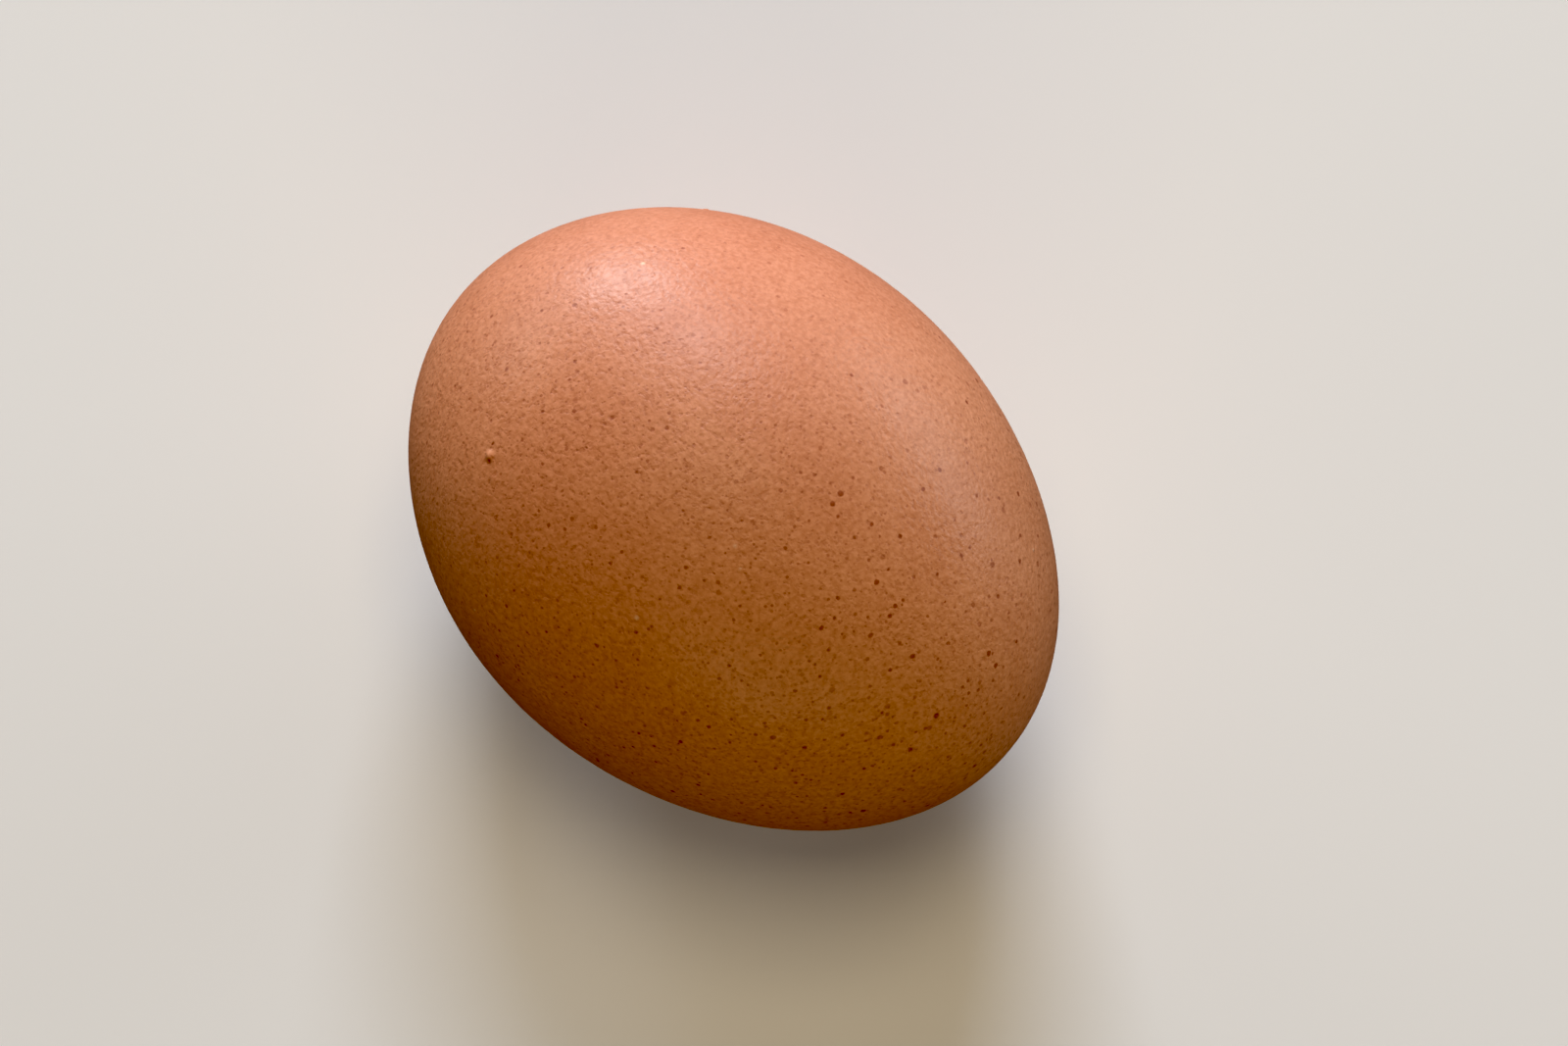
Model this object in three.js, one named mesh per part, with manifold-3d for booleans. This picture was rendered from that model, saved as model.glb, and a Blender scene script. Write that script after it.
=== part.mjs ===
// A brown hen's egg, whole and in its shell, lying on its side as it comes to rest.
// Millimetres, +Z up. +X runs from the blunt end to the pointed end, and the origin
// is the middle of the small flat spot that the egg rests on, below its weight.
import * as THREE from 'three';
import { mergeVertices } from 'three/addons/utils/BufferGeometryUtils.js';
import Module from 'manifold-3d';

// ---- Driving dimensions ----
const LENGTH = 56.6;            // from pole to pole
const WIDTH = 44.6;             // across the widest ring
const TAPER = 0.0406;           // share of the width that moves from the pointed half to the blunt half
const SLIMNESS = 0.035;         // share of the width that both shoulders lose against an ellipse
const POINT_FULLNESS = 0.0227;  // share that the pointed end gains back close to its pole
const REST_DEPTH = 0.2;         // how far the resting spot is cut into the round underside

// ---- How finely the shell is divided ----
const RINGS = 44;               // steps from pole to pole
const SECTORS = 88;             // steps round the long axis
const VOLUME_STEPS = 400;       // slices when the centre of the weight is summed

// ---- Shell ----
const SHELL_COLOUR = 0xc2804f;
const SHELL_ROUGHNESS = 0.55;

const wasm = await Module();
wasm.setup();

// The outline of the egg: where the ring at angle t stands along the axis, and its radius.
// t runs from -90 degrees at the blunt pole to +90 degrees at the pointed pole.
function outline(t) {
  const s = Math.sin(t);
  const egginess = 1 - TAPER * s - SLIMNESS * s ** 2 + POINT_FULLNESS * s ** 3;
  return {
    along: LENGTH / 2 * s,
    radius: WIDTH / 2 * Math.cos(t) * egginess,
  };
}

// Where the weight of an evenly filled egg is centred, along its axis.
function centreOfWeight() {
  let volume = 0;
  let moment = 0;
  for (let i = 0; i < VOLUME_STEPS; i += 1) {
    const t = Math.PI * ((i + 0.5) / VOLUME_STEPS - 0.5);
    const { along, radius } = outline(t);
    const slice = radius ** 2 * Math.cos(t);
    volume += slice;
    moment += slice * along;
  }
  return moment / volume;
}

// The direction straight out of the shell at t, in the plane of the outline.
function outward(t) {
  const step = 1e-4;
  const before = outline(t - step);
  const after = outline(t + step);
  return new THREE.Vector2(before.radius - after.radius, after.along - before.along).normalize();
}

// The egg is balanced on the ring where the way straight out of the shell, carried back
// to the axis, meets the centre of the weight. Found by halving the span that holds it.
function balancedRing() {
  const centre = centreOfWeight();
  let low = -0.5;
  let high = 0.5;
  while (high - low > 1e-9) {
    const t = (low + high) / 2;
    const { along, radius } = outline(t);
    const out = outward(t);
    const meets = along - radius * out.x / out.y;
    if (meets < centre) {
      low = t;
    } else {
      high = t;
    }
  }
  return (low + high) / 2;
}

// The whole egg, turned round its own axis. Its axis is laid along +X, and the origin
// is halfway between the poles.
function roundEgg() {
  const points = [];
  for (let i = 0; i <= RINGS; i += 1) {
    const { along, radius } = outline(Math.PI * (i / RINGS - 0.5));
    const atPole = i === 0 || i === RINGS;
    points.push(new THREE.Vector2(atPole ? 0 : radius, along));
  }
  return new THREE.LatheGeometry(points, SECTORS).rotateZ(-Math.PI / 2);
}

// Leans the egg until it balances, and lifts it so that only the spot to be cut is below zero.
function layDown(geometry) {
  const t = balancedRing();
  const { along, radius } = outline(t);
  const out = outward(t);
  const lean = Math.atan2(out.x, out.y);
  geometry.rotateY(lean);
  const touch = new THREE.Vector3(along, 0, -radius).applyAxisAngle(new THREE.Vector3(0, 1, 0), lean);
  return geometry.translate(-touch.x, 0, -touch.z - REST_DEPTH);
}

function toSolid(geometry) {
  const bare = geometry.clone();
  bare.deleteAttribute('normal');
  bare.deleteAttribute('uv');
  const merged = mergeVertices(bare);
  const vertProperties = new Float32Array(merged.attributes.position.array);
  const triVerts = new Uint32Array(merged.index.array);
  return new wasm.Manifold(new wasm.Mesh({ numProp: 3, vertProperties, triVerts }));
}

function toGeometry(solid) {
  const { vertProperties, triVerts } = solid.getMesh();
  const geometry = new THREE.BufferGeometry();
  geometry.setAttribute('position', new THREE.BufferAttribute(vertProperties, 3));
  geometry.setIndex(new THREE.BufferAttribute(triVerts, 1));
  geometry.computeVertexNormals();
  return geometry;
}

// Cuts away what reaches below zero, which leaves the small flat spot.
function cutRestingSpot(geometry) {
  const below = new THREE.BoxGeometry(LENGTH, WIDTH, WIDTH).translate(0, 0, -WIDTH / 2);
  return toGeometry(toSolid(geometry).subtract(toSolid(below)));
}

const shell = new THREE.MeshStandardMaterial({
  color: SHELL_COLOUR,
  roughness: SHELL_ROUGHNESS,
  metalness: 0,
});

const egg = new THREE.Mesh(cutRestingSpot(layDown(roundEgg())), shell);
egg.name = 'egg';

const model = new THREE.Group();
model.add(egg);

export default model;
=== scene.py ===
# %% [markdown]
# # A brown hen's egg
#
# A plain solid of the right size already lies where the egg lies, and it isn't moved.
# This lesson makes what the eye sees of a real egg: a shell that is a little uneven, the
# pores and speckles in it, and the soft light it lies in. Lengths in Blender are metres,
# so a length that is given in millimetres is multiplied by MM.

# %% The frame
import math
import random

import bmesh
import bpy
from mathutils import Matrix, Vector, noise
from mathutils.bvhtree import BVHTree


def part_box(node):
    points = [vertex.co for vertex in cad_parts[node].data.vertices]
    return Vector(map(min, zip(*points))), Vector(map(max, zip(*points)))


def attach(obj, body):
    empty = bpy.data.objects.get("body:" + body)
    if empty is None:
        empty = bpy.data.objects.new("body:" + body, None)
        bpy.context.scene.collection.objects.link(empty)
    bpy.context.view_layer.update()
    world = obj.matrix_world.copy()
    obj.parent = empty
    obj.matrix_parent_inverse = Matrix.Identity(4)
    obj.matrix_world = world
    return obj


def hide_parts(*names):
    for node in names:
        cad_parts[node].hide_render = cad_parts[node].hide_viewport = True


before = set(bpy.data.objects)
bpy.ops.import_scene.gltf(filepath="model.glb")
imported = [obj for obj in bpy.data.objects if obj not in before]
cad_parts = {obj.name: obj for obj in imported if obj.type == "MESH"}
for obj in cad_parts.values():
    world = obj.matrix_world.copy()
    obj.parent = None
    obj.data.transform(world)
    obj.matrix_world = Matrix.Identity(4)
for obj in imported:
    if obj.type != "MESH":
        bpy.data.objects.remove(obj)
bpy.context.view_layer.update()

MM = 0.001

# %% [markdown]
# ## Where the egg lies
#
# A real egg is round about a long axis, and that axis tips a little towards the pointed
# end when the egg comes to rest on a table. The tip could be typed in as an angle, but the
# solid already has it: its two poles are the two corners that lie farthest apart. Reading
# them keeps the shell and the solid together if the solid is ever changed.

# %% The poles of the solid
solid_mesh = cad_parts["egg"].data
solid_corners = [vertex.co.copy() for vertex in solid_mesh.vertices]


def farthest_from(place):
    return max(solid_corners, key=lambda corner: (corner - place).length)


egg_low, egg_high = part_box("egg")
one_pole = farthest_from((egg_low + egg_high) / 2)
blunt_pole, pointed_pole = sorted((one_pole, farthest_from(one_pole)), key=lambda pole: pole.x)
half_length = (pointed_pole - blunt_pole).length / 2
half_width = (egg_high.y - egg_low.y) / 2
long_axis = (pointed_pole - blunt_pole).normalized()
middle = (blunt_pole + pointed_pole) / 2
lean = Vector((1, 0, 0)).rotation_difference(long_axis).to_matrix()
print(f"egg {2 * half_length / MM:.1f} mm long and {2 * half_width / MM:.1f} mm wide,",
      f"leaning {math.degrees(math.asin(-long_axis.z)):.1f} degrees to its pointed end")

# %% [markdown]
# ## The shape of the shell
#
# A ball that is only stretched has two equal ends. An egg is a stretched ball whose width
# also changes along the axis: a little wider on the blunt side, a little narrower on the
# pointed side, and slimmer at both shoulders. Three small shares say all of that, and they
# are the same ones that shaped the solid.

# %% From a ball to an egg
TAPER = 0.0406
SLIMNESS = 0.035
POINT_FULLNESS = 0.0227


def egginess(s):
    """How wide the egg is against a stretched ball; s is -1 at the blunt end, 1 at the point."""
    return 1 - TAPER * s - SLIMNESS * s**2 + POINT_FULLNESS * s**3


def on_shell(ball):
    """The place on the smooth shell that a point on a ball of radius 1 is stretched to."""
    radius = half_width * egginess(ball.x)
    return middle + lean @ Vector((half_length * ball.x, radius * ball.y, radius * ball.z))


HALFWAY = 0.5
print("halfway to the blunt end it is", f"{egginess(-HALFWAY) / egginess(HALFWAY) - 1:.1%}",
      "wider than halfway to the pointed end")

# %% [markdown]
# ## A fine, even net
#
# The shell needs faces no wider than about a third of a millimetre, because its unevenness
# is real shape and not only shading. An outline spun round the axis would crowd its faces
# at the poles. A cube whose six sides are cut into small squares, and which is then blown
# up into a ball, has no poles at all.

# %% The cut cube
SQUARES_ALONG_EDGE = 126

net = bmesh.new()
bmesh.ops.create_cube(net, size=2)
bmesh.ops.subdivide_edges(net, edges=net.edges, cuts=SQUARES_ALONG_EDGE - 1, use_grid_fill=True)
net.normal_update()
print(f"a cube of {len(net.faces)} squares")

# %% [markdown]
# ## A map for baked pictures
#
# When the egg leaves Blender, its pattern is baked into pictures, and the shell needs a
# flat map for them. The cube gives one for nothing while its sides are still flat: six
# places in two rows of three. The sides that run along the egg are longer than they are
# wide, and so are their places on the map. Each side keeps off the edge of its place, so
# that no colour leaks in from the next one.

# %% The map of the six sides
MAP_COLUMNS = 3
MAP_ROWS = 2
# Shares of a place: its middle, and the edge that is left free.
MAP_MIDDLE = 0.5
MAP_EDGE = 0.012
# For a side that faces along X, Y or Z: the axis that runs across its place, and the one up.
ACROSS_SIDE = (1, 2, 1)
UP_SIDE = (2, 0, 0)
AXES = Matrix.Identity(3)

shell_map = net.loops.layers.uv.new("OFBake")
reach = MAP_MIDDLE - MAP_EDGE
for face in net.faces:
    column = max(range(3), key=lambda axis: abs(face.normal[axis]))
    row = 0 if face.normal[column] < 0 else 1
    across = ACROSS_SIDE[column]
    up = UP_SIDE[column]
    # Opposite sides run across in opposite ways, so that neither is mirrored.
    facing = AXES[across].cross(AXES[up]).dot(face.normal)
    for loop in face.loops:
        u = MAP_MIDDLE + math.copysign(reach, facing) * loop.vert.co[across]
        v = MAP_MIDDLE + reach * loop.vert.co[up]
        loop[shell_map].uv = ((column + u) / MAP_COLUMNS, (row + v) / MAP_ROWS)
print(f"a map of {MAP_COLUMNS * MAP_ROWS} places")

# %% [markdown]
# ## From the cube to the egg
#
# If the cut cube were only pushed out to a ball, a square in the middle of a side would
# come out five times as large as one in its corner. Moving each corner of the net by the
# tangent of its angle first keeps the largest under one and a half times the smallest. The
# ball is then stretched to the egg.

# %% The blown-up cube
EIGHTH_TURN = math.pi / 4

for vertex in net.verts:
    ball = Vector([math.tan(step * EIGHTH_TURN) for step in vertex.co]).normalized()
    vertex.co = on_shell(ball)
net.normal_update()
lengths = [edge.calc_length() / MM for edge in net.edges]
print(f"edges of {min(lengths):.2f} to {max(lengths):.2f} mm")

# %% [markdown]
# ## Grains of chalk
#
# A hen's shell carries a few stray grains of chalk: low round pimples under the brown
# skin, and smaller pale ones on top of it. One pimple stands out at the blunt end, with a
# small dent on its shaded side that is darkened as painted shadow, and a low swelling next
# to it. One pale grain in the middle of the shine is partly a chalk speck and partly a
# painted glint. Another bump shows on the outline, and the rest are small. Each is real
# shape, so the net is cut finer round it first. The list says where each one is, how large,
# and how pale: a height below zero is a dent, and a paleness below zero is painted shadow.

# %% The grains
# Degrees towards the pointed end and round from the top, radius and height in millimetres,
# paleness (below zero, painted shadow).
GRAINS = [
    (-36.4, -34.1, 0.60, 0.20, 0.0),     # the pimple
    # Its fleck: a small dent below the pimple, darkened as painted shadow.
    (-35.7, -35.2, 0.36, -0.05, -0.75),  # its fleck
    (-33, -37, 0.55, 0.03, 0.0),         # the swelling next to it
    (0, -35, 0.28, 0.03, 0.6),
    (4.8, -11, 0.24, 0.02, 0.4),
    (7.6, -13.8, 0.22, 0.02, 0.35),
    (44, 51, 0.20, 0.03, 0.7),
    # A pale chalk speck in the middle of the shine, partly a painted glint.
    (-38, 30, 0.28, 0.03, 1.0),
    (-22, -68, 0.22, 0.04, 0.5),
    (-38, 73, 0.45, 0.10, 0.0),          # the bump on the outline
]
UNDERSIDE_GRAINS = 5
UNDERSIDE_ALONG = (-70, 70)
UNDERSIDE_AROUND = (110, 250)
UNDERSIDE_SIZE = (0.3, 0.05, 0.3)
GRAIN_SEED = 11

grain_draw = random.Random(GRAIN_SEED)
for _ in range(UNDERSIDE_GRAINS):
    along = grain_draw.uniform(*UNDERSIDE_ALONG)
    around = grain_draw.uniform(*UNDERSIDE_AROUND)
    GRAINS.append((along, around, *UNDERSIDE_SIZE))


def towards(along, around):
    """A point on the ball, by its angles towards the pointed end and round from the top."""
    rise = math.radians(along)
    turn = math.radians(around)
    ring = math.cos(rise)
    return Vector((math.sin(rise), ring * math.sin(turn), ring * math.cos(turn)))


grains = [(on_shell(towards(along, around)), radius * MM, height * MM, paleness_or_painted_shadow)
          for along, around, radius, height, paleness_or_painted_shadow in GRAINS]
print(f"{len(grains)} grains, the highest {max(height for _, _, height, _ in grains) / MM:.2f} mm")

# %% A finer net round the grains
FINER_REACH = 1.4
FINER_CUTS = 3


def near_grain(edge):
    place = (edge.verts[0].co + edge.verts[1].co) / 2
    return any((place - centre).length < FINER_REACH * radius for centre, radius, _, _ in grains)


near_edges = [edge for edge in net.edges if near_grain(edge)]
bmesh.ops.subdivide_edges(net, edges=near_edges, cuts=FINER_CUTS, use_grid_fill=True)
net.normal_update()
print(f"{len(near_edges)} edges cut finer")

# %% [markdown]
# ## The uneven skin
#
# No shell is as smooth as a formula. It swells and sinks by a few hundredths of a
# millimetre over a centimetre, and it has a fine ripple like the peel of an orange. Moving
# each corner of the net along its own normal by a smooth noise gives both. Anything that
# would reach below the table is pressed flat, which leaves the small spot the egg rests on.

# %% The relief
# Each layer has the size of its waves and their height, in millimetres. The shift sets the
# layers apart in the noise, so that they don't rise in the same places.
RELIEF = ((15.0, 0.05), (3.2, 0.012), (1.15, 0.009))
LAYER_SHIFT = Vector((17.0, 5.0, 9.0))


def relief(place):
    total = 0.0
    for number, (wave, height) in enumerate(RELIEF, start=1):
        total += height * MM * noise.noise(place / (wave * MM) + LAYER_SHIFT * number)
    return total


def dome(distance, radius):
    """A round-topped bump that is 1 in the middle and meets the shell without a crease."""
    return (1 - (distance / radius) ** 2) ** 2 if distance < radius else 0.0


# Each corner keeps the paleness of its grain; below zero, by the pimple, it is painted shadow.
paleness_or_shadow_layer = net.verts.layers.float.new("paleness_or_painted_shadow")
for vertex in net.verts:
    lift = relief(vertex.co)
    for centre, radius, height, paleness_or_painted_shadow in grains:
        share = dome((vertex.co - centre).length, radius)
        lift += share * height
        if abs(share * paleness_or_painted_shadow) > abs(vertex[paleness_or_shadow_layer]):
            vertex[paleness_or_shadow_layer] = share * paleness_or_painted_shadow
    vertex.co += vertex.normal * lift
    vertex.co.z = max(vertex.co.z, 0.0)
net.normal_update()
print(f"{sum(vertex.co.z == 0.0 for vertex in net.verts)} corners pressed flat on the table")

# %% [markdown]
# ## The shell
#
# The net becomes a mesh that is shaded smoothly, on an object that stays at the origin,
# because the mesh already lies in its place. The shell stands in for the solid, so it must
# not leave it: the largest gap between the two is measured on some of its corners.

# %% The shell
CORNER_STEP = 50

for face in net.faces:
    face.smooth = True
shell_mesh = bpy.data.meshes.new("eggshell")
net.to_mesh(shell_mesh)
net.free()
shell = bpy.data.objects.new("eggshell", shell_mesh)
bpy.context.scene.collection.objects.link(shell)

solid_faces = [polygon.vertices for polygon in solid_mesh.polygons]
solid_tree = BVHTree.FromPolygons(solid_corners, solid_faces)


def gap_to_solid(place):
    _, _, _, gap = solid_tree.find_nearest(place)
    return gap


gaps = [gap_to_solid(vertex.co) for vertex in list(shell_mesh.vertices)[::CORNER_STEP]]
triangles = sum(len(polygon.vertices) - 2 for polygon in shell_mesh.polygons)
print(f"shell of {triangles} triangles, at most {max(gaps) / MM:.3f} mm from the solid")

# %% [markdown]
# ## Small helpers for materials
#
# A material is a tree of nodes, and building one in code repeats the same three steps:
# add a node, set what it says, and join it to the others. These helpers do that, so that
# the cells below read as what the finish does.

# %% Node helpers


def feed(tree, socket, value):
    """Join a socket to the one that feeds it, or else set its own value."""
    if isinstance(value, bpy.types.NodeSocket):
        tree.links.new(value, socket)
    else:
        socket.default_value = value


def add_node(tree, kind, inputs=(), **settings):
    """A new node. Each input, by name or number, gets a value or the socket that feeds it."""
    node = tree.nodes.new(kind)
    for name, value in settings.items():
        setattr(node, name, value)
    for socket, value in dict(inputs).items():
        feed(tree, node.inputs[socket], value)
    return node


def maths(tree, operation, *values):
    return add_node(tree, "ShaderNodeMath", enumerate(values), operation=operation).outputs[0]


def vector_maths(tree, operation, inputs):
    return add_node(tree, "ShaderNodeVectorMath", inputs, operation=operation).outputs[0]


def fade(tree, value, start, end, low=0.0, high=1.0):
    """A value that runs smoothly from low at start to high at end, and stays there beyond."""
    inputs = {"Value": value, "From Min": start, "From Max": end, "To Min": low, "To Max": high}
    node = add_node(tree, "ShaderNodeMapRange", inputs, interpolation_type="SMOOTHSTEP")
    return node.outputs["Result"]


def clouds(tree, place, wave, detail=2.0):
    """A smooth noise whose waves are about as long as is said, in millimetres."""
    inputs = {"Vector": place, "Scale": 1 / wave, "Detail": detail}
    return add_node(tree, "ShaderNodeTexNoise", inputs).outputs


def mix_colours(tree, share, first, second, way="MIX"):
    node = add_node(tree, "ShaderNodeMix", data_type="RGBA", blend_type=way)
    for name, value in (("Factor_Float", share), ("A_Color", first), ("B_Color", second)):
        feed(tree, next(socket for socket in node.inputs if socket.identifier == name), value)
    return next(socket for socket in node.outputs if socket.identifier == "Result_Color")


def new_group(name, inputs, outputs):
    """An empty node group with named sockets, and the sockets at its two ends."""
    group = bpy.data.node_groups.new(name, "ShaderNodeTree")
    for title, (kind, value) in inputs.items():
        socket = group.interface.new_socket(title, in_out="INPUT", socket_type=kind)
        if value is not None:
            socket.default_value = value
    for title, kind in outputs.items():
        group.interface.new_socket(title, in_out="OUTPUT", socket_type=kind)
    return group, add_node(group, "NodeGroupInput").outputs, add_node(group, "NodeGroupOutput").inputs


# %% [markdown]
# ## Spots
#
# The pigment of a brown shell sits in spots of every size: pores that show as faint
# freckles all over, darker dots, and a scatter of dark brown speckles that gathers at the
# pointed end. All are the same thing at other sizes, so one group draws them. It throws
# random centres with a Voronoi texture, keeps a share of them, and gives each its own
# size and strength. A little noise in the place makes the larger ones ragged.

# %% The group that draws spots
NUMBER = "NodeSocketFloat"
PLACE = "NodeSocketVector"
SPOT_INPUTS = {
    "Place": (PLACE, None),
    "Cell": (NUMBER, 1.0),
    "Radius": (NUMBER, 0.2),
    "Edge": (NUMBER, 0.06),
    "Share": (NUMBER, 0.5),
    "Ragged": (NUMBER, 0.0),
    "Palest": (NUMBER, 0.4),
}
spots, given, result = new_group("Spots", SPOT_INPUTS, {"Mask": NUMBER})
print(f"a group with {len(SPOT_INPUTS)} inputs")

# %% A ragged place
RAG_WAVE = 0.3
NOISE_MIDDLE = (0.5, 0.5, 0.5)

rag = clouds(spots, given["Place"], RAG_WAVE)["Color"]
rag = vector_maths(spots, "SUBTRACT", {0: rag, 1: NOISE_MIDDLE})
rag = vector_maths(spots, "SCALE", {0: rag, "Scale": given["Ragged"]})
ragged_place = vector_maths(spots, "ADD", {0: given["Place"], 1: rag})
print(f"a ragged place by {len(spots.nodes)} nodes")

# %% A spot in each cell
# The smallest spots have this share of the full radius.
SMALLEST = 0.5

cells_per_millimetre = maths(spots, "DIVIDE", 1.0, given["Cell"])
cells = add_node(spots, "ShaderNodeTexVoronoi",
                 {"Vector": ragged_place, "Scale": cells_per_millimetre}).outputs
# Each cell has a random colour, and its three parts are three random numbers.
draws = add_node(spots, "ShaderNodeSeparateColor", {"Color": cells["Color"]})
kept_draw, size_draw, strength_draw = draws.outputs
distance = maths(spots, "MULTIPLY", cells["Distance"], given["Cell"])
size = maths(spots, "MULTIPLY_ADD", size_draw, 1 - SMALLEST, SMALLEST)
radius = maths(spots, "MULTIPLY", given["Radius"], size)
outer = maths(spots, "ADD", radius, given["Edge"])
inner = maths(spots, "SUBTRACT", radius, given["Edge"])
inside = fade(spots, distance, inner, outer, low=1.0, high=0.0)
kept = maths(spots, "LESS_THAN", kept_draw, given["Share"])
strength = fade(spots, strength_draw, 0.0, 1.0, low=given["Palest"], high=1.0)
mask = maths(spots, "MULTIPLY", maths(spots, "MULTIPLY", inside, kept), strength)
spots.links.new(mask, result["Mask"])
print(f"spots drawn by {len(spots.nodes)} nodes")

# %% [markdown]
# ## The shell's colour
#
# Brown pigment over white chalk gives a warm tan that is never quite even. Slow clouds of a
# deeper tone lie under it. The blunt end is ruddier and the pointed end more golden. The side
# that faces the window light is tinted rosy and the shaded side tawny, which is painted light.
# On top comes a grain of darker and lighter pigment. The tints multiply the tan, so each one
# only has to say what it changes.

# %% The place on the shell
finish = bpy.data.materials.new("eggshell")
finish.use_nodes = True
tree = finish.node_tree
surface = tree.nodes["Principled BSDF"]

coordinates = add_node(tree, "ShaderNodeTexCoord").outputs["Object"]
in_millimetres = vector_maths(tree, "SCALE", {0: coordinates, "Scale": 1 / MM})
place = add_node(tree, "ShaderNodeSeparateXYZ", {0: in_millimetres}).outputs
along_egg = place["X"]
across_egg = place["Y"]
print(f"the place on the shell by {len(tree.nodes)} nodes")

# %% The tan and its tints
SHELL_PALE = (0.625, 0.258, 0.146, 1)
SHELL_DEEP = (0.57, 0.22, 0.12, 1)
RUDDY = (0.985, 0.97, 0.97, 1)
GOLDEN = (1.0, 1.075, 0.96, 1)
# Painted light colour: the side towards the window light is rosy, the shaded side tawny.
PAINTED_SHADE_TAWNY = (1.0, 1.02, 0.925, 1)
PAINTED_LIT_ROSY = (1.0, 0.985, 1.055, 1)
GRAIN_DARK = (0.92, 0.89, 0.86, 1)
GRAIN_LIGHT = (1.08, 1.11, 1.14, 1)
# The waves, and where a tint starts and ends, in millimetres.
TONE_WAVE = 9.0
GRAIN_WAVE = 0.4
GOLDEN_ALONG = (-15.0, 25.0)
PAINTED_LIGHT_ACROSS = (-16.0, 12.0)
# How much finer noise rides on the tone's waves, and the pale tan's least and largest share.
TONE_DETAIL = 3.0
TONE_SHARES = (0.2, 0.8)
# Nearly all of a noise lies between these two values.
NOISE_SPAN = (0.3, 0.7)


def tint(colour, share, first, second):
    """The colour times the first tint where the share is 0, and the second where it is 1."""
    return mix_colours(tree, 1.0, colour, mix_colours(tree, share, first, second), "MULTIPLY")


tone_clouds = clouds(tree, in_millimetres, TONE_WAVE, TONE_DETAIL)["Fac"]
tone = fade(tree, tone_clouds, *NOISE_SPAN, *TONE_SHARES)
colour = mix_colours(tree, tone, SHELL_DEEP, SHELL_PALE)
colour = tint(colour, fade(tree, along_egg, *GOLDEN_ALONG), RUDDY, GOLDEN)
# Painted light colour: rosy on the side that faces the window light, tawny on the shaded side.
colour = tint(colour, fade(tree, across_egg, *PAINTED_LIGHT_ACROSS), PAINTED_SHADE_TAWNY, PAINTED_LIT_ROSY)
grain = fade(tree, clouds(tree, in_millimetres, GRAIN_WAVE)["Fac"], *NOISE_SPAN)
colour = tint(colour, grain, GRAIN_DARK, GRAIN_LIGHT)
print(f"the tan and its tints take {len(tree.nodes)} nodes")

# %% [markdown]
# ## The shell's pits and spots
#
# Irregular pits and the three sizes of spots darken the tan by what they let through, which
# is less blue than red, so a dark speckle is reddish brown and not grey. The dots and the
# speckles gather towards the pointed end. The fine marks fade on the side that faces the
# window light, as painted sheen that washes them out. The chalk grains, one of them partly a
# painted glint, and the painted shadow by the pimple follow the weight that each corner of
# the net keeps.

# %% The spots of three sizes
# Lengths are in millimetres.
PORES = {"Cell": 0.40, "Radius": 0.125, "Edge": 0.05, "Share": 0.85, "Ragged": 0.10, "Palest": 0.2}
DOTS = {"Cell": 0.64, "Radius": 0.18, "Edge": 0.06, "Ragged": 0.16, "Palest": 0.15}
SPECKLES = {"Cell": 1.05, "Radius": 0.26, "Edge": 0.07, "Ragged": 0.16, "Palest": 0.4}
# Where the dots and the speckles gather, along the egg, and their shares before and after.
DOTS_ALONG = (-20.0, 20.0)
DOTS_SHARES = (0.28, 0.62)
SPECKLES_ALONG = (-4.0, 20.0)
SPECKLES_SHARES = (0.04, 0.50)


def draw_spots(sizes, **gathered):
    inputs = {"Place": in_millimetres, **sizes, **gathered}
    return add_node(tree, "ShaderNodeGroup", inputs, node_tree=spots).outputs["Mask"]


pores = draw_spots(PORES)
dots = draw_spots(DOTS, Share=fade(tree, along_egg, *DOTS_ALONG, *DOTS_SHARES))
speckles = draw_spots(SPECKLES, Share=fade(tree, along_egg, *SPECKLES_ALONG, *SPECKLES_SHARES))
for name, sizes in (("pores", PORES), ("dots", DOTS), ("speckles", SPECKLES)):
    print(f"{name} up to {2 * (sizes['Radius'] + sizes['Edge']):.2f} mm across")

# %% The pits, and their fading under painted sheen
# The pits lie where a noise is high: they start at the first value and are full at the next.
PIT_WAVE = 0.50
PIT_SPAN = (0.52, 0.66)
# Where the marks fade as painted sheen, across the egg towards the window light, and the share of its
# marks before and after.
SHEEN_FADE_ACROSS = (-4.0, 14.0)
SHEEN_FADE_SHARES = (1.0, 0.5)

pits = fade(tree, clouds(tree, in_millimetres, PIT_WAVE)["Fac"], *PIT_SPAN)
# Painted sheen: the fine marks fade on the side that faces the window light, where the shine washes
# them out.
kept_under_painted_sheen = fade(tree, across_egg, *SHEEN_FADE_ACROSS, *SHEEN_FADE_SHARES)
pits, pores, dots = (maths(tree, "MULTIPLY", marks, kept_under_painted_sheen) for marks in (pits, pores, dots))
# The clean side in this printout is the side under painted sheen.
print(f"the clean side keeps {SHEEN_FADE_SHARES[1]:.0%} of its fine marks")

# %% What the marks do to the colour
# The colour that spots let through, also used for the painted shadow below the pimple.
SPOT_AND_PAINTED_SHADOW_TINT = (0.49, 0.33, 0.31, 1)
# The colour of the pale grains; the one at the shine's core is partly a painted glint.
CHALK_AND_GLINT = (0.80, 0.53, 0.36, 1)
PIT_STRENGTH = 0.22
PORE_STRENGTH = 0.54
DOT_STRENGTH = 0.85
SPECKLE_STRENGTH = 1.0


def darken(colour, share):
    return mix_colours(tree, share, colour, SPOT_AND_PAINTED_SHADOW_TINT, "MULTIPLY")


for marks, strength in ((pits, PIT_STRENGTH), (pores, PORE_STRENGTH),
                        (dots, DOT_STRENGTH), (speckles, SPECKLE_STRENGTH)):
    colour = darken(colour, maths(tree, "MULTIPLY", marks, strength))
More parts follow.
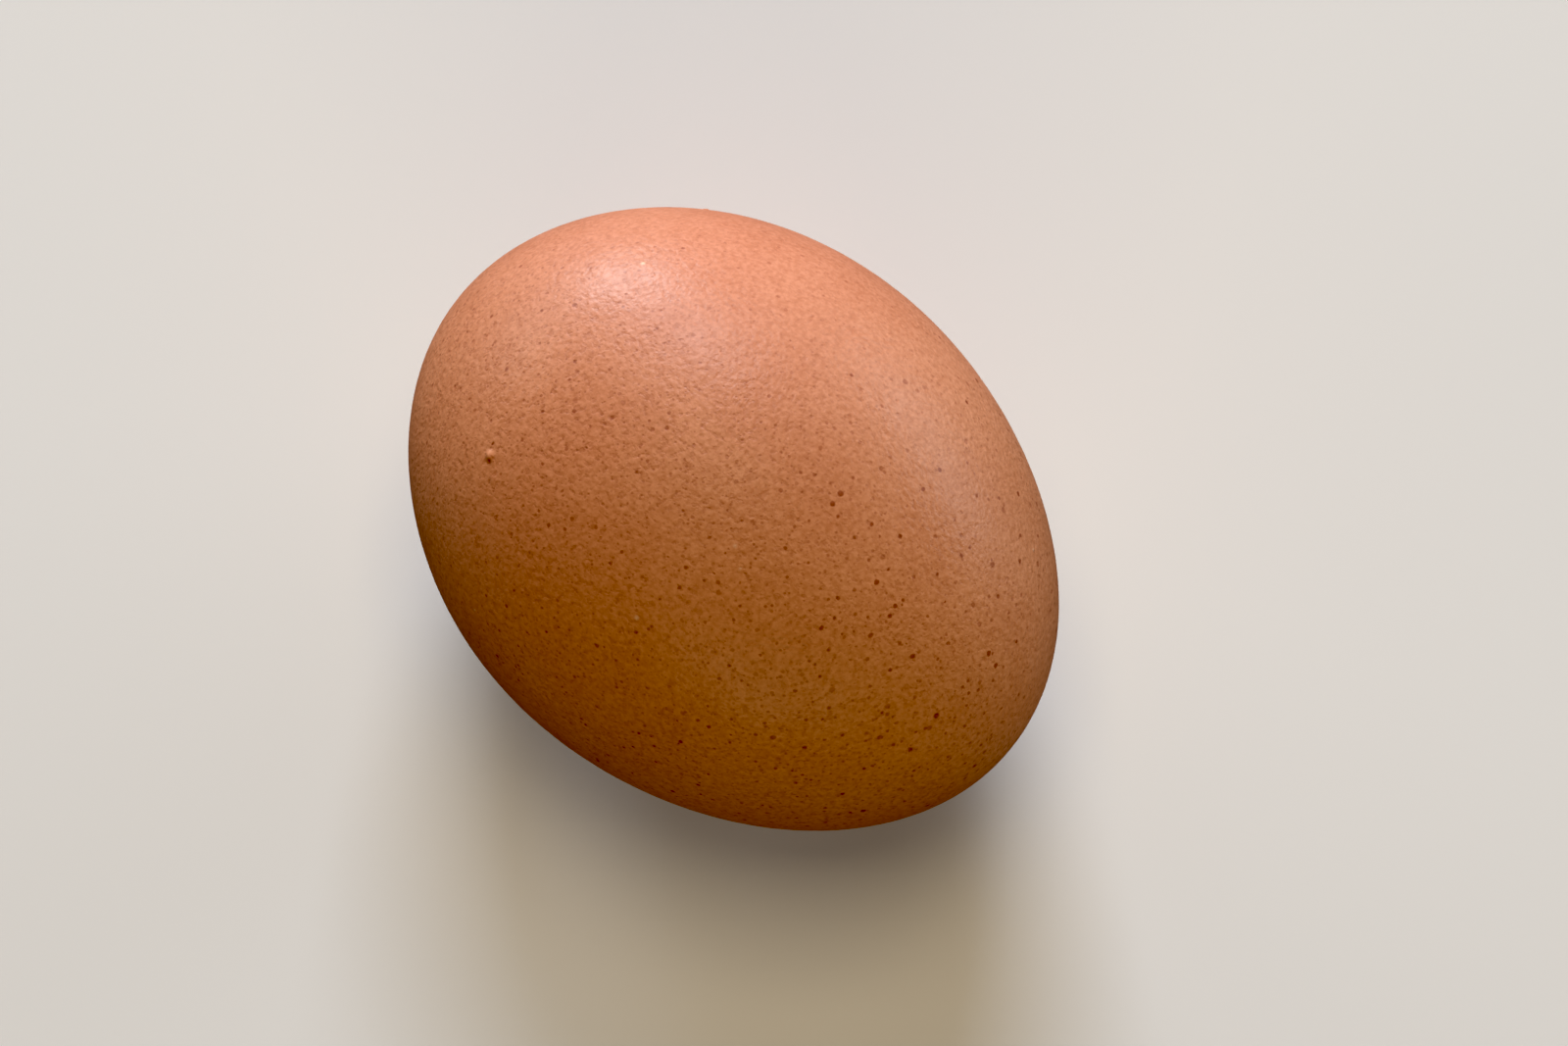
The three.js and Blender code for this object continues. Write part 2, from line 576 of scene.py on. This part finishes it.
# Above zero the weight makes chalk paler; below zero it darkens the pimple's dent as painted shadow.
paleness_or_painted_shadow = add_node(tree, "ShaderNodeAttribute", attribute_name="paleness_or_painted_shadow").outputs["Fac"]
colour = mix_colours(tree, paleness_or_painted_shadow, colour, CHALK_AND_GLINT)
colour = darken(colour, maths(tree, "MULTIPLY", paleness_or_painted_shadow, -1.0))
tree.links.new(colour, surface.inputs["Base Color"])
print(f"the colour takes {len(tree.nodes)} nodes")

# %% [markdown]
# ## The shell's shine
#
# The skin is nearly matte, with a broad soft shine that is a little glossier in some places
# than in others. Grain that is finer than the net can't be shape, so it is a bump: it tilts
# the light as small heights would. The skin rises in a fine peel, and the pits, pores and
# dots sink into it.

# %% The shine and the fine grain
SPECULAR = 0.25
ROUGHNESS = (0.36, 0.44)
PEEL_DETAIL = 1.5
# Waves, a height and a depth, in millimetres.
SHINE_WAVE = 2.5
PEEL_WAVE = 0.45
PEEL_HEIGHT = 0.058
PORE_DEPTH = 0.015

surface.inputs["Specular IOR Level"].default_value = SPECULAR
shine = fade(tree, clouds(tree, in_millimetres, SHINE_WAVE)["Fac"], *NOISE_SPAN, *ROUGHNESS)
tree.links.new(shine, surface.inputs["Roughness"])

peel = clouds(tree, in_millimetres, PEEL_WAVE, PEEL_DETAIL)["Fac"]
raised = maths(tree, "MULTIPLY", peel, PEEL_HEIGHT)
marks = maths(tree, "ADD", maths(tree, "ADD", pores, dots), pits)
height = maths(tree, "ADD", raised, maths(tree, "MULTIPLY", marks, -PORE_DEPTH))
bump = add_node(tree, "ShaderNodeBump", {"Height": height, "Distance": MM})
tree.links.new(bump.outputs["Normal"], surface.inputs["Normal"])

shell_mesh.materials.append(finish)
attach(shell, "root")
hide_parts("egg")
print(f"the finish takes {len(tree.nodes)} nodes")

# %% [markdown]
# ## The floor
#
# The egg lies on a plain pale surface with no pattern of its own. A pale floor throws a
# lot of light back up, and the egg's underside would lose its shade. Dark card round the
# egg would stop that, but it would show. Here the floor itself is pale where the camera
# sees it, darker for the light that it throws back, and darkest where the shell mirrors it.
# The Light Path node can tell these apart.

# %% A plain pale floor
# From the middle of the floor to its edges, in metres.
FLOOR_REACH = 2.0
FLOOR_SEEN = (0.84, 0.85, 0.89, 1)
FLOOR_THROWN = (0.20, 0.20, 0.21, 1)
FLOOR_MIRRORED = (0.03, 0.03, 0.03, 1)
FLOOR_ROUGHNESS = 0.9
FLOOR_SPECULAR = 0.1

sheet = bmesh.new()
bmesh.ops.create_grid(sheet, x_segments=1, y_segments=1, size=FLOOR_REACH)
floor_mesh = bpy.data.meshes.new("floor")
sheet.to_mesh(floor_mesh)
sheet.free()
floor = bpy.data.objects.new("floor", floor_mesh)
bpy.context.scene.collection.objects.link(floor)

plain = bpy.data.materials.new("plain_floor")
plain.use_nodes = True
paint = plain.node_tree.nodes["Principled BSDF"]
ray = add_node(plain.node_tree, "ShaderNodeLightPath").outputs
floor_colour = mix_colours(plain.node_tree, ray["Is Camera Ray"], FLOOR_THROWN, FLOOR_SEEN)
floor_colour = mix_colours(plain.node_tree, ray["Is Glossy Ray"], floor_colour, FLOOR_MIRRORED)
plain.node_tree.links.new(floor_colour, paint.inputs["Base Color"])
paint.inputs["Roughness"].default_value = FLOOR_ROUGHNESS
paint.inputs["Specular IOR Level"].default_value = FLOOR_SPECULAR
floor_mesh.materials.append(plain)
print(f"a floor of {2 * FLOOR_REACH:.0f} by {2 * FLOOR_REACH:.0f} m")

# %% [markdown]
# ## The camera
#
# The camera looks almost straight down with a long lens. Its place is worked out from
# where it aims, the two angles it looks from, and how far away it is.

# %% The camera
VIEW_AZIMUTH = 39.72
VIEW_ELEVATION = 80.0
VIEW_DISTANCE = 414.9 * MM
AIM = Vector((3.40, 2.37, 22.3)) * MM
LENS = 120
NEAREST_SEEN = 10 * MM


def direction_from(azimuth, elevation):
    """The way from the egg to something at this azimuth and elevation, in degrees."""
    turn = math.radians(azimuth)
    rise = math.radians(elevation)
    flat = math.cos(rise)
    return Vector((math.sin(turn) * flat, -math.cos(turn) * flat, math.sin(rise)))


def facing_along(way):
    """The turn that points a camera or a lamp along a way, with its top side up."""
    return way.to_track_quat("-Z", "Y").to_euler()


camera_data = bpy.data.cameras.new("camera")
camera_data.lens = LENS
camera_data.clip_start = NEAREST_SEEN
camera = bpy.data.objects.new("camera", camera_data)
bpy.context.scene.collection.objects.link(camera)
back = direction_from(VIEW_AZIMUTH, VIEW_ELEVATION)
camera.location = AIM + back * VIEW_DISTANCE
camera.rotation_euler = facing_along(-back)
bpy.context.scene.camera = camera
print(f"camera {camera.location.z / MM:.0f} mm above the table")

# %% [markdown]
# ## Soft light
#
# The egg lies by a window. A low soft box behind it, a little to the left, gives the broad
# shine near the far edge, and a small neutral one inside it gives the bright middle of that
# shine. Wide low boxes to the left and to the right carry the shine round the sides. A cool
# one higher up lights the upper side and throws the long soft shadow towards the camera.
# Warm ones overhead and in front keep the shaded side golden brown. The boxes stand far
# off, so that the floor is lit evenly, and they are hidden from the camera, so that they
# stay out of low views.

# %% The soft boxes
LIGHT_DISTANCE = 2.0
# Degrees from the camera's side round to the far side of the egg.
BEHIND = 180
COOL = (0.84, 0.91, 1.00)
WARM = (1.00, 0.79, 0.48)
NEUTRAL = (1.0, 0.95, 0.85)
LEFT_TINGE = (0.87, 0.93, 0.88)
RIGHT_TINGE = (0.87, 0.91, 0.92)
# Name, turn from straight behind the egg to the camera's right and elevation in degrees,
# width and height for each metre of distance, watts as at one metre, colour.
SOFT_BOXES = (
    ("window", -15, 6, (0.33, 0.21), 6.5, COOL),
    ("window_core", -11, 2.5, (0.12, 0.05), 0.75, NEUTRAL),
    ("window_left", -47, 6, (0.50, 0.21), 2.35, LEFT_TINGE),
    ("window_right", 60, 6, (0.83, 0.21), 5.05, RIGHT_TINGE),
    ("sky", 0, 36, (0.43, 0.37), 6.5, COOL),
    ("top", 0, 78, (0.50, 0.50), 3.45, WARM),
    ("front", 180, 22, (0.67, 0.50), 2.5, WARM),
)


def soft_box(name, turn, elevation, size, power, colour):
    box = bpy.data.lights.new(name, "AREA")
    box.shape = "RECTANGLE"
    box.size = size[0] * LIGHT_DISTANCE
    box.size_y = size[1] * LIGHT_DISTANCE
    box.energy = power * LIGHT_DISTANCE ** 2
    box.color = colour
    lamp = bpy.data.objects.new(name, box)
    bpy.context.scene.collection.objects.link(lamp)
    way = direction_from(VIEW_AZIMUTH + BEHIND - turn, elevation)
    lamp.location = Vector((0, 0, middle.z)) + way * LIGHT_DISTANCE
    lamp.rotation_euler = facing_along(-way)
    lamp.visible_camera = False
    return lamp


lamps = [soft_box(*row) for row in SOFT_BOXES]
print(f"{len(lamps)} soft boxes, {sum(lamp.data.energy for lamp in lamps):.0f} watts")

# %% [markdown]
# ## The surround
#
# All round stands a pale backdrop, which only the camera sees. For the light it is a nearly
# black room, so that nothing but the soft boxes lights the egg.

# %% The surround
SURROUND = (0.80, 0.79, 0.78, 1)
ROOM = (0.002, 0.002, 0.002, 1)

world = bpy.data.worlds.new("studio")
world.use_nodes = True
backing = world.node_tree
backing.nodes.clear()
seen = add_node(backing, "ShaderNodeLightPath").outputs["Is Camera Ray"]
backdrop = mix_colours(backing, seen, ROOM, SURROUND)
background = add_node(backing, "ShaderNodeBackground", {"Color": backdrop}).outputs[0]
add_node(backing, "ShaderNodeOutputWorld", {"Surface": background})
bpy.context.scene.world = world
print(f"a surround of {len(backing.nodes)} nodes")

# %% [markdown]
# ## The contrast of the picture
#
# A camera's own picture is a little more contrasty than the bare light: its darkest tones
# are pulled down to black. Raising the black level does the same, and it makes the shaded
# brown deeper without touching the shell's colour.

# %% The black level
BLACK_LEVEL = 0.03

view = bpy.context.scene.view_settings
view.view_transform = "Standard"
view.use_curve_mapping = True
view.curve_mapping.black_level = (BLACK_LEVEL, BLACK_LEVEL, BLACK_LEVEL)
view.curve_mapping.update()
print(f"black level {BLACK_LEVEL}")
